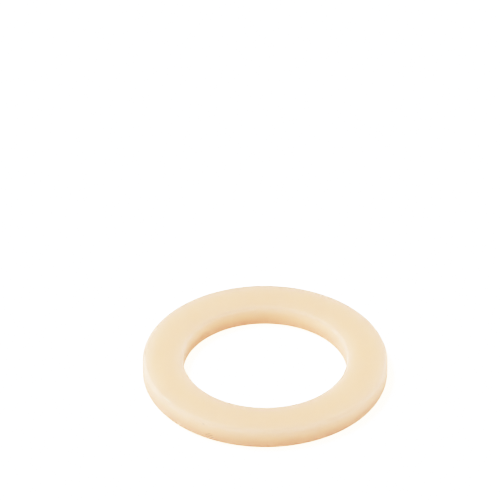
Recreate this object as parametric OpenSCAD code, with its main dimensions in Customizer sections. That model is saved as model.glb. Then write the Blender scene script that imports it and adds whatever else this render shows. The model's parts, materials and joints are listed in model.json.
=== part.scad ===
// Flat ring washer moulded in one piece. It lies on the XY plane with its axis along +Z, and its
// origin is the centre of the lower sealing face. All sizes are in millimetres.

/* [Ring] */
// Outer diameter of the ring
outer_d = 24; // [20:0.5:40]
// Diameter of the hole
hole_d = 16; // [8:0.5:17]
// Distance between the two sealing faces
thickness = 2.1; // [1:0.1:4]

/* [Edges] */
// Radius of the outer edges, above and below
outer_edge_r = 0.4; // [0.05:0.05:0.45]
// Radius of the edges of the hole, above and below
hole_edge_r = 0.3; // [0.05:0.05:0.45]

/* [Finish] */
// Facets around a full circle
facets = 128; // [48:16:256]

/* [Hidden] */
outer_r = outer_d / 2;
hole_r = hole_d / 2;

// Flat of the section between its rounded edges. Its top and bottom are the sealing faces.
module sealing_faces() {
    face_start_r = hole_r + hole_edge_r;
    face_end_r = outer_r - outer_edge_r;
    translate([face_start_r, 0]) square([face_end_r - face_start_r, thickness]);
}

// One wall of the section, with a round edge above and below it. The plastic lies outwards of
// the wall of the hole (side = 1) and inwards of the wall of the rim (side = -1).
module wall_with_edges(wall_r, edge_r, side) {
    edge_centre_r = wall_r + side * edge_r;
    for (z = [edge_r, thickness - edge_r])
        translate([edge_centre_r, z]) circle(r = edge_r);
    translate([edge_centre_r - edge_r, edge_r]) square([2 * edge_r, thickness - 2 * edge_r]);
}

// Half section of the ring: X is the distance from the axis, and Y the height
module ring_section() {
    sealing_faces();
    wall_with_edges(hole_r, hole_edge_r, 1);
    wall_with_edges(outer_r, outer_edge_r, -1);
}

// The ring is its section turned once around the axis
module washer() {
    color([0.94, 0.87, 0.75])
        rotate_extrude($fn = facets) ring_section($fn = facets);
}

washer();
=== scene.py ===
import json
import math
import bpy
import numpy as np
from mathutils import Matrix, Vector


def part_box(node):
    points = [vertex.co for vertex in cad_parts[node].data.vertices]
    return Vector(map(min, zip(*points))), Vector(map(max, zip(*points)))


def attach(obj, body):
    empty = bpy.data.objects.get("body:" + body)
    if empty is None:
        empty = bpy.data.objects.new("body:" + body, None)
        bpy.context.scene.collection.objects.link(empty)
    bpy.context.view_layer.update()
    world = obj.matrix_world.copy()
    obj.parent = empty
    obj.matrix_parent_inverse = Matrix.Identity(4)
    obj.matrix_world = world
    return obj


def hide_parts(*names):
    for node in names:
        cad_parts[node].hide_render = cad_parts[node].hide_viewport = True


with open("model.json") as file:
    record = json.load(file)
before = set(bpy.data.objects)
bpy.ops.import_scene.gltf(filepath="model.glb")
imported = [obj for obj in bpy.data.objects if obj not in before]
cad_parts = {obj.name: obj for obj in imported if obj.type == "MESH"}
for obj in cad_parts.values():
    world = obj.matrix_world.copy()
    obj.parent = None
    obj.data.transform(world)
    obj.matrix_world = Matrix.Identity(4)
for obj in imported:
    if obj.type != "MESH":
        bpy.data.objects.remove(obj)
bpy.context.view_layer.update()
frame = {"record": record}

# A moulded ring of cream nylon lies on a white table. Metres everywhere, and mm turns
# millimetres into metres.
mm = 0.001
print("frame loaded")


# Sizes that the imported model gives
def mountDims(name):
    found = [m["dims"] for m in frame["record"]["mounts"] if m["name"] == name]
    return found[0]


low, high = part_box("washer")
thickness = high.z - low.z
rimRadius = min(-low.x, -low.y, high.x, high.y)
holeRadius = mountDims("bore")["r_mm"] * mm
rimEdge = (thickness - mountDims("rim")["length_mm"] * mm) / 2     # round between face and wall
holeEdge = (thickness - mountDims("bore")["length_mm"] * mm) / 2
print("rim", rimRadius, "hole", holeRadius, "thickness", thickness, "edges", rimEdge, holeEdge)


# Collections
def collection(name):
    made = bpy.data.collections.new(name)
    bpy.context.scene.collection.children.link(made)
    return made


partCollection = collection("washerPart")
studioCollection = collection("studio")


# Ring
ringShape = {
    "columns": 512,          # grid steps around the axis
    "faceSteps": 26,         # grid steps across a flat face
    "edgeSteps": 12,         # grid steps over a rounded edge
    "rimSteps": 36,          # grid steps up the outer wall
    "holeSteps": 14,         # grid steps down the wall of the hole
    "crowding": 0.8,         # 0 spaces the columns evenly, 1 packs them at the gate
    "faceSink": 0.012 * mm,  # how far a face sinks midway, as moulded nylon shrinks
}
# The trimmed gate: an oval patch on the rim, torn along slanting grooves, with painted shade in them
gate = {
    "angle": math.radians(243.5),
    "height": 0.45 * mm,
    "halfWidth": 0.48 * mm,
    "halfHeight": 0.45 * mm,
    "halfDepth": 0.30 * mm,
    "fade": 0.4,             # width of the soft border, as a share of the half sizes
    "depth": 0.03 * mm,
    "tearDepth": 0.02 * mm,
    "tearSpacing": 0.27 * mm,
    "tearLean": 0.6,         # how far a groove climbs for each step along the rim
    "paintedShade": 0.56,            # how much the painted shade covers in the middle of a groove
}
# A small knock on the upper round of the rim
nick = {
    "angle": math.radians(240.1),
    "height": thickness - 0.33 * mm,
    "radius": 0.22 * mm,
    "depth": 0.05 * mm,
}
# Painted shade and painted highlights near the upper round of the rim. Each is an oval whose half
# sizes are given outwards, along the rim and upwards.
paintedMarks = {
    # Painted shade in the knock
    "nickShade": {
        "angle": nick["angle"],
        "height": nick["height"],
        "halfSizes": (0.22 * mm, 0.22 * mm, 0.18 * mm),
        "colour": "paintedShade",
        "share": 0.38,
    },
    # Painted highlight on the upper lip of the knock
    "nickLip": {
        "angle": math.radians(239.6),
        "height": thickness - 0.05 * mm,
        "halfSizes": (0.34 * mm, 0.16 * mm, 0.10 * mm),
        "colour": "paintedHighlight",
        "share": 0.35,
    },
    # Painted highlight: a pale glint along the upper round of the rim
    "edgeGlint": {
        "angle": math.radians(215.8),
        "height": thickness - 0.03 * mm,
        "halfSizes": (0.60 * mm, 1.35 * mm, 0.07 * mm),
        "colour": "paintedHighlight",
        "share": 1.0,
    },
    # The glint's fading tail, a faint painted highlight
    "edgeGlintTail": {
        "angle": math.radians(226.0),
        "height": thickness - 0.05 * mm,
        "halfSizes": (0.60 * mm, 1.50 * mm, 0.06 * mm),
        "colour": "paintedHighlight",
        "share": 0.08,
    },
}
outward = 0.9                # share of the outward direction above which a point is on the rim


# From start to just before end, closer together at both ends: the half turn of a cosine
def crowded(start, end, steps):
    share = 0.5 - 0.5 * np.cos(np.pi * np.arange(steps) / steps)
    return start + (end - start) * share


# A flat of the section: points from start to end, all with one outward direction
def straight(startR, startZ, endR, endZ, outR, outZ, steps):
    r = crowded(startR, endR, steps)
    z = crowded(startZ, endZ, steps)
    return np.stack([r, z, np.full(steps, outR), np.full(steps, outZ)], axis=1)


# A quarter circle of the section: centre + radius * (cos t, sin t), t growing by 90 degrees
def rounded(centreR, centreZ, radius, startDegrees, steps):
    t = np.radians(startDegrees + 90.0 * np.arange(steps) / steps)
    r, z = centreR + radius * np.cos(t), centreZ + radius * np.sin(t)
    return np.stack([r, z, np.cos(t), np.sin(t)], axis=1)


# Closed loop of the ring's section, one row a point: distance from the axis, height, and the
# outward direction there. It runs out along the lower face, up the rim, in along the upper
# face and down the hole.
def sectionOutline():
    face, edge = ringShape["faceSteps"], ringShape["edgeSteps"]
    rim, hole = ringShape["rimSteps"], ringShape["holeSteps"]
    rimIn, holeOut = rimRadius - rimEdge, holeRadius + holeEdge
    rimTop, holeTop = thickness - rimEdge, thickness - holeEdge
    return np.concatenate([
        straight(holeOut, 0, rimIn, 0, 0, -1, face),
        rounded(rimIn, rimEdge, rimEdge, -90, edge),
        straight(rimRadius, rimEdge, rimRadius, rimTop, 1, 0, rim),
        rounded(rimIn, rimTop, rimEdge, 0, edge),
        straight(rimIn, thickness, holeOut, thickness, 0, 1, face),
        rounded(holeOut, holeTop, holeEdge, 90, edge),
        straight(holeRadius, holeTop, holeRadius, holeEdge, -1, 0, hole),
        rounded(holeOut, holeEdge, holeEdge, 180, edge),
    ])


# Angles around the axis, crowded at the gate: a = t - crowding * sin(t - gate angle)
def columnAngles():
    t = np.linspace(0, 2 * np.pi, ringShape["columns"], endpoint=False)
    return t - ringShape["crowding"] * np.sin(t - gate["angle"])


# 0 below 0, 1 above 1, and 3 x^2 - 2 x^3 between
def smoothStep(x):
    x = np.clip(x, 0, 1)
    return x * x * (3 - 2 * x)


# Depth of the trimmed gate on the rim: an oval that is flat inside and soft at its border, with
# slanting grooves, deepest where cos(2 pi (up - lean * around) / spacing) is -1. around is the
# distance along the rim from the gate.
def gateScar(around, z, outR):
    up = z - gate["height"]
    reach = np.hypot(around / gate["halfWidth"], up / gate["halfHeight"])
    patch = smoothStep((1 + gate["fade"] / 2 - reach) / gate["fade"]) * (outR > outward)
    grooves = -np.cos(2 * np.pi * (up - gate["tearLean"] * around) / gate["tearSpacing"])
    return patch * (gate["depth"] + gate["tearDepth"] * grooves)


# Depth of the knock on the upper round of the rim: a smooth bowl
def edgeNick(around, z, outR):
    reach = np.hypot(around, z - nick["height"]) / nick["radius"]
    return nick["depth"] * smoothStep(1 - reach) * (outR > 1 - outward)


# Depth of the shrinkage of a flat face: a parabola across it, zero at both edges
def faceSink(r, outZ):
    middle = (rimRadius + holeRadius) / 2
    half = (rimRadius - rimEdge - holeRadius - holeEdge) / 2
    across = np.clip((r - middle) / half, -1, 1)
    return ringShape["faceSink"] * (1 - across ** 2) * (np.abs(outZ) > outward)


# Points of the ring on a grid of angle a and place s along the section:
# ((r - d outR) cos a, (r - d outR) sin a, z - d outZ), where d is the depth of all marks
def washerSurface():
    r, z, outR, outZ = sectionOutline().T
    a = columnAngles()[:, None]
    alongGate = rimRadius * (a - gate["angle"])
    alongNick = rimRadius * (a - nick["angle"])
    depth = gateScar(alongGate, z, outR) + edgeNick(alongNick, z, outR) + faceSink(r, outZ)
    radius = r - depth * outR
    height = z - depth * outZ
    return np.stack([radius * np.cos(a), radius * np.sin(a), height], axis=-1)


# Mesh of a grid that closes on itself both ways, with one quad to a cell, facing outwards
def gridMesh(name, points):
    columns, rows = points.shape[:2]
    i, j = np.meshgrid(np.arange(columns), np.arange(rows), indexing="ij")
    iNext, jNext = (i + 1) % columns, (j + 1) % rows
    corners = [i * rows + j, iNext * rows + j, iNext * rows + jNext, i * rows + jNext]
    quads = np.stack(corners, axis=-1).reshape(-1, 4)
    mesh = bpy.data.meshes.new(name)
    mesh.vertices.add(columns * rows)
    mesh.vertices.foreach_set("co", points.astype(np.float32).ravel())
    mesh.loops.add(quads.size)
    mesh.loops.foreach_set("vertex_index", quads.astype(np.int32).ravel())
    mesh.polygons.add(len(quads))
    mesh.polygons.foreach_set("loop_start", np.arange(0, quads.size, len(corners), dtype=np.int32))
    mesh.update(calc_edges=True)
    mesh.polygons.foreach_set("use_smooth", np.ones(len(quads), dtype=bool))
    return mesh


# Cream nylon
nylon = {
    "cream": (0.95, 0.765, 0.587),
    "warmCream": (0.95, 0.755, 0.573),
    "paintedShade": (0.42, 0.44, 0.38),          # painted shade, in the grooves of the gate and in the knock
    "paintedHighlight": (0.995, 0.915, 0.74),      # painted highlight, paler than the rest, on the upper round of the rim
    "scatterLength": 5.0 * mm,
    "scatterForward": 0.6,   # 0 scatters evenly, and 1 sends all the light straight on
    "roughness": (0.52, 0.60),
    "specular": 0.5,
    "ior": 1.53,
    "cloudSize": 5.0 * mm,
    "grainSize": 0.22 * mm,
    "grainDepth": 0.004 * mm,
    "rippleSize": 1.6 * mm,
    "rippleDepth": 0.010 * mm,
}
noiseDetail = 2              # finer layers that a noise adds to itself
noiseRoughness = 0.55        # strength of each layer against the one before


# Natural nylon: light enters, scatters far and comes out warmer. Broad clouds vary the tint, a
# fine grain with a slow ripple breaks up the sheen, painted shade darkens the gate's grooves and
# the knock, and painted highlights lighten places on the upper round of the rim.
def creamNylon():
    material = bpy.data.materials.new("creamNylon")
    material.use_nodes = True
    nodes, links = material.node_tree.nodes, material.node_tree.links
    shader = nodes["Principled BSDF"]
    place = nodes.new("ShaderNodeTexCoord").outputs["Object"]

    def noise(size):
        made = nodes.new("ShaderNodeTexNoise")
        made.inputs["Scale"].default_value = 1.0 / size
        made.inputs["Detail"].default_value = noiseDetail
        made.inputs["Roughness"].default_value = noiseRoughness
        links.new(place, made.inputs["Vector"])
        return made.outputs["Fac"]

    def bump(height, depth, under=None):
        made = nodes.new("ShaderNodeBump")
        made.inputs["Distance"].default_value = depth
        links.new(height, made.inputs["Height"])
        if under is not None:
            links.new(under, made.inputs["Normal"])
        return made.outputs["Normal"]

    def vectorMath(operation, a, b=None):
        made = nodes.new("ShaderNodeVectorMath")
        made.operation = operation
        links.new(a, made.inputs[0])
        if b is not None:
            made.inputs[1].default_value = b
        return made.outputs["Value"]

    def numberMath(operation, a, b=None):
        made = nodes.new("ShaderNodeMath")
        made.operation = operation
        links.new(a, made.inputs[0])
        if b is not None:
            links.new(b, made.inputs[1])
        return made.outputs["Value"]

    # From one range of numbers to another, along a straight or a smooth slope
    def ranged(value, start, end, toStart, toEnd, slope="LINEAR"):
        made = nodes.new("ShaderNodeMapRange")
        made.interpolation_type = slope
        links.new(value, made.inputs["Value"])
        made.inputs["From Min"].default_value = start
        made.inputs["From Max"].default_value = end
        made.inputs["To Min"].default_value = toStart
        made.inputs["To Max"].default_value = toEnd
        return made.outputs["Result"]

    def mixed(share, a, b):
        made = nodes.new("ShaderNodeMix")
        made.data_type = "RGBA"
        links.new(share, made.inputs["Factor"])
        for value, socket in ((a, made.inputs["A"]), (b, made.inputs["B"])):
            if isinstance(value, tuple):
                socket.default_value = (*value, 1)
            else:
                links.new(value, socket)
        return made.outputs["Result"]

    # Place as seen from a mark on the rim, in its half sizes: x outwards, y along, z upwards
    def markPlace(angle, height, halfSizes):
        made = nodes.new("ShaderNodeMapping")
        made.vector_type = "TEXTURE"
        spot = (rimRadius * math.cos(angle), rimRadius * math.sin(angle), height)
        made.inputs["Location"].default_value = spot
        made.inputs["Rotation"].default_value = (0, 0, angle)
        made.inputs["Scale"].default_value = halfSizes
        links.new(place, made.inputs["Vector"])
        return made.outputs["Vector"]

    # Painted shade in the grooves of the gate, by the same oval and the same wave as in gateScar
    def gateGrooveShade():
        halfSizes = (gate["halfDepth"], gate["halfWidth"], gate["halfHeight"])
        spot = markPlace(gate["angle"], gate["height"], halfSizes)
        border = gate["fade"] / 2
        patch = ranged(vectorMath("LENGTH", spot), 1 + border, 1 - border, 0, gate["paintedShade"], "SMOOTHSTEP")
        turn = 2 * math.pi / gate["tearSpacing"]
        slant = (0, -turn * gate["tearLean"] * gate["halfWidth"], turn * gate["halfHeight"])
        wave = numberMath("COSINE", vectorMath("DOT_PRODUCT", spot, slant))
        return numberMath("MULTIPLY", patch, ranged(wave, 0, -1, 0, 1))

    tint = mixed(noise(nylon["cloudSize"]), nylon["cream"], nylon["warmCream"])
    # Painted shade in the grooves of the gate, mixed into the colour
    tint = mixed(gateGrooveShade(), tint, nylon["paintedShade"])
    # Painted shade in the knock and painted highlights on the upper round of the rim, mixed into the
    # colour
    for paintedMark in paintedMarks.values():
        spot = markPlace(paintedMark["angle"], paintedMark["height"], paintedMark["halfSizes"])
        cover = ranged(vectorMath("LENGTH", spot), 1, 0, 0, paintedMark["share"], "SMOOTHSTEP")
        tint = mixed(cover, tint, nylon[paintedMark["colour"]])
    links.new(tint, shader.inputs["Base Color"])
    smooth, rough = nylon["roughness"]
    sheen = ranged(noise(nylon["rippleSize"]), 0, 1, smooth, rough)
    links.new(sheen, shader.inputs["Roughness"])
    ripple = bump(noise(nylon["rippleSize"]), nylon["rippleDepth"])
    grain = bump(noise(nylon["grainSize"]), nylon["grainDepth"], ripple)
    links.new(grain, shader.inputs["Normal"])

    shader.subsurface_method = "RANDOM_WALK"
    shader.inputs["Subsurface Weight"].default_value = 1.0
    shader.inputs["Subsurface Radius"].default_value = (1.0, 1.0, 1.0)
    shader.inputs["Subsurface Scale"].default_value = nylon["scatterLength"]
    shader.inputs["Subsurface Anisotropy"].default_value = nylon["scatterForward"]
    shader.inputs["IOR"].default_value = nylon["ior"]
    shader.inputs["Specular IOR Level"].default_value = nylon["specular"]
    return material


washer = bpy.data.objects.new("washerRing", gridMesh("washerRing", washerSurface()))
partCollection.objects.link(washer)
washer.data.materials.append(creamNylon())
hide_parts("washer")
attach(washer, "root")
print("ring made,", len(washer.data.polygons), "quads")


# Film: how the picture turns light into tone. A power gives contrast, tones run straight up to
# the knee, and above it a soft shoulder leads to white.
film = {
    "contrast": 1.5,
    "knee": 0.4,
    "white": 2.4,            # the light that comes out as pure white
    "points": 16,
    "pointCrowding": 1.5,    # above 1 the points of the curve lie closer together in the dark
}


# u = light ^ contrast, then knee + (1 - knee) * (1 - exp(-(u - knee) / (1 - knee))) above the
# knee, scaled so that white comes out as 1
def filmTone(light):
    def shoulder(u):
        room = 1 - film["knee"]
        over = np.maximum(u - film["knee"], 0)
        return np.minimum(u, film["knee"]) + room * (1 - np.exp(-over / room))
    return shoulder(light ** film["contrast"]) / shoulder(film["white"] ** film["contrast"])


# The film as the view's curve, whose input runs from 0 to 1 for light from 0 to white
def loadFilm():
    view = bpy.context.scene.view_settings
    view.view_transform = "Standard"
    view.use_curve_mapping = True
    mapping = view.curve_mapping
    mapping.white_level = (film["white"], film["white"], film["white"])
    combined = mapping.curves[3]     # the one that acts on red, green and blue alike
    share = np.linspace(0, 1, film["points"] + 2)[1:-1] ** film["pointCrowding"]
    for x, y in zip(share, filmTone(share * film["white"])):
        combined.points.new(float(x), float(y))
    mapping.update()


loadFilm()
print("film loaded")


# Table of white paper, as three sheets a hair apart: the camera sees the first, lit to white,
# the second throws its light into the ring, warm as it has come through the nylon before, and
# the third is what the sheen of the ring mirrors. In the ring's soft shade, which falls to the
# right and forwards, the first is warmer and the third darker.
tableHalf = 3.0                          # half the width of the table
shadeShift = (0.55 * mm, -0.25 * mm, 0)  # from the ring to its shade
sheets = {
    "tableSeen": {
        "drop": 0.01 * mm,
        "colour": (0.25, 0.25, 0.25),
        "glow": (2.3, 2.3, 2.3),
        "shadeGlow": (1.9, 1.65, 1.35),
        "fade": 0.5 * mm,
        "rays": ["camera"],
    },
    "tableBounce": {
        "drop": 0.02 * mm,
        "colour": (0.85, 0.85, 0.85),
        "glow": (0.36, 0.205, 0.15),
        "rays": ["diffuse", "transmission", "volume_scatter"],
    },
    "tableMirrored": {
        "drop": 0.03 * mm,
        "colour": (0.0, 0.0, 0.0),
        "glow": (1.7, 1.65, 1.6),
        "shadeGlow": (0.35, 0.33, 0.30),
        "fade": 0.6 * mm,
        "rays": ["glossy"],
    },
}


# Light on the table: 0 in the ring's shade, which is as wide as the ring but shifted, and 1 out of
# it. It grows as (|r - middle| - half) / fade, where r is the distance from the shifted centre.
def outOfShade(tree, fade):
    middle, half = (rimRadius + holeRadius) / 2, (rimRadius - holeRadius) / 2

    def step(kind, operation, source, result, amount=None):
        made = tree.nodes.new(kind)
        made.operation = operation
        tree.links.new(source, made.inputs[0])
        if amount is not None:
            made.inputs[1].default_value = amount
        return made.outputs[result]

    place = tree.nodes.new("ShaderNodeTexCoord").outputs["Object"]
    fromShade = step("ShaderNodeVectorMath", "SUBTRACT", place, "Vector", shadeShift)
    radius = step("ShaderNodeVectorMath", "LENGTH", fromShade, "Value")
    offset = step("ShaderNodeMath", "SUBTRACT", radius, "Value", middle)
    share = tree.nodes.new("ShaderNodeMapRange")
    tree.links.new(step("ShaderNodeMath", "ABSOLUTE", offset, "Value"), share.inputs["Value"])
    share.inputs["From Min"].default_value = half
    share.inputs["From Max"].default_value = half + fade
    return share.outputs["Result"]


# A flat square at height -drop, with its matt colour, its own light, the rays that meet it and,
# where shadeGlow is given, another light in the ring's shade
def tableSheet(name, drop, colour, glow, rays, shadeGlow=None, fade=None):
    half = tableHalf
    corners = [(-half, -half, -drop), (half, -half, -drop), (half, half, -drop), (-half, half, -drop)]
    mesh = bpy.data.meshes.new(name)
    mesh.from_pydata(corners, [], [(0, 1, 2, 3)])
    material = bpy.data.materials.new(name)
    material.use_nodes = True
    tree = material.node_tree
    shader = tree.nodes["Principled BSDF"]
    shader.inputs["Base Color"].default_value = (*colour, 1)
    shader.inputs["Roughness"].default_value = 1.0
    shader.inputs["Specular IOR Level"].default_value = 0.0
    shader.inputs["Emission Color"].default_value = (*glow, 1)
    shader.inputs["Emission Strength"].default_value = 1.0
    if shadeGlow is not None:
        light = tree.nodes.new("ShaderNodeMix")
        light.data_type = "VECTOR"
        tree.links.new(outOfShade(tree, fade), light.inputs["Factor"])
        light.inputs["A"].default_value = shadeGlow
        light.inputs["B"].default_value = glow
        tree.links.new(light.outputs["Result"], shader.inputs["Emission Color"])
    mesh.materials.append(material)
    sheet = bpy.data.objects.new(name, mesh)
    studioCollection.objects.link(sheet)
    for kind in ("camera", "diffuse", "glossy", "transmission", "volume_scatter"):
        setattr(sheet, "visible_" + kind, kind in rays)
    sheet.visible_shadow = False


for name, values in sheets.items():
    tableSheet(name, **values)
print("table made")


# Soft lights: azimuth 0 is +X, 90 is away from the camera, 180 is the left of the picture. As
# through crossed polarising sheets, the body lights give no sheen, and the sheen lights give
# nothing else.
bodyLights = {
    "keyLeft": {"azimuth": 180, "elevation": 55, "watts": 7.9},
    "frontLeft": {"azimuth": 225, "elevation": 55, "watts": 3.6},
    "lowRight": {"azimuth": 0, "elevation": 15, "watts": 4.1},
    "lowBackRight": {"azimuth": 45, "elevation": 15, "watts": 2.5},
    "lowBackLeft": {"azimuth": 135, "elevation": 15, "watts": 1.0},
    "overhead": {"azimuth": 0, "elevation": 90, "watts": 3.7},
}
sheenLights = {
    "sheenBackLeft": {"azimuth": 135, "elevation": 15, "watts": 4.6},
    "sheenBackRight": {"azimuth": 45, "elevation": 15, "watts": 3.8},
    "sheenRight": {"azimuth": 0, "elevation": 15, "watts": 0.8},
}
softboxSize = 0.6
softboxDistance = 1.0
bodyTint = (1.0, 0.885, 0.852)
sheenTint = (1.0, 1.0, 1.0)


# A round soft light on a sphere about the ring, aimed at it
def softbox(name, tint, sheen, azimuth, elevation, watts):
    light = bpy.data.lights.new(name, "AREA")
    light.shape = "DISK"
    light.size = softboxSize
    light.energy = watts
    light.color = tint
    lamp = bpy.data.objects.new(name, light)
    studioCollection.objects.link(lamp)
    turn, lift = math.radians(azimuth), math.radians(elevation)
    direction = Vector((math.cos(lift) * math.cos(turn), math.cos(lift) * math.sin(turn), math.sin(lift)))
    lamp.location = direction * softboxDistance
    lamp.rotation_mode = "QUATERNION"
    lamp.rotation_quaternion = (-direction).to_track_quat("-Z", "Y")
    lamp.visible_camera = False
    lamp.visible_glossy = sheen
    lamp.visible_diffuse = not sheen
    lamp.visible_transmission = not sheen


for name, values in bodyLights.items():
    softbox(name, bodyTint, False, **values)
for name, values in sheenLights.items():
    softbox(name, sheenTint, True, **values)


# The backdrop is white for the camera and dark for the ring: strength = white * camera ray
def backdrop():
    world = bpy.data.worlds.new("studioBackdrop")
    world.use_nodes = True
    nodes, links = world.node_tree.nodes, world.node_tree.links
    strength = nodes.new("ShaderNodeMath")
    strength.operation = "MULTIPLY"
    links.new(nodes.new("ShaderNodeLightPath").outputs["Is Camera Ray"], strength.inputs[0])
    strength.inputs[1].default_value = film["white"]
    nodes["Background"].inputs["Color"].default_value = (1, 1, 1, 1)
    links.new(strength.outputs["Value"], nodes["Background"].inputs["Strength"])
    return world


bpy.context.scene.world = backdrop()
print("lights made")


# Camera, as the photograph was framed. The picture is 500 by 500 pixels, and the centre of the
# ring's lower face is at (ringX, ringY) in it.
photoView = {
    "lens": 408.96,          # millimetres, for a sensor 36 mm wide
    "sensor": 36.0,
    "elevation": math.radians(35.9),
    "picture": 500,
    "ringX": 265.0,
    "ringY": 373.6,
    "depth": 556.8 * mm,     # from the camera to that centre, along the line of sight
    "nearest": 10 * mm,
}


# The camera stands so that the ring's centre falls on its pixel: its place is minus
# (depth * forward + x * right + y * up), x and y being the pixel's offsets at that depth
def photoCamera():
    data = bpy.data.cameras.new("photoCamera")
    data.lens = photoView["lens"]
    data.sensor_width = photoView["sensor"]
    data.clip_start = photoView["nearest"]
    camera = bpy.data.objects.new("photoCamera", data)
    studioCollection.objects.link(camera)
    lift = photoView["elevation"]
    forward = Vector((0, math.cos(lift), -math.sin(lift)))
    up = Vector((0, math.sin(lift), math.cos(lift)))
    right = Vector((1, 0, 0))
    perPixel = photoView["depth"] * photoView["sensor"] / photoView["lens"] / photoView["picture"]
    x = (photoView["ringX"] - photoView["picture"] / 2) * perPixel
    y = (photoView["picture"] / 2 - photoView["ringY"]) * perPixel
    camera.location = -(photoView["depth"] * forward + x * right + y * up)
    camera.rotation_euler = (math.pi / 2 - lift, 0, 0)
    return camera


bpy.context.scene.camera = photoCamera()
print("camera made")
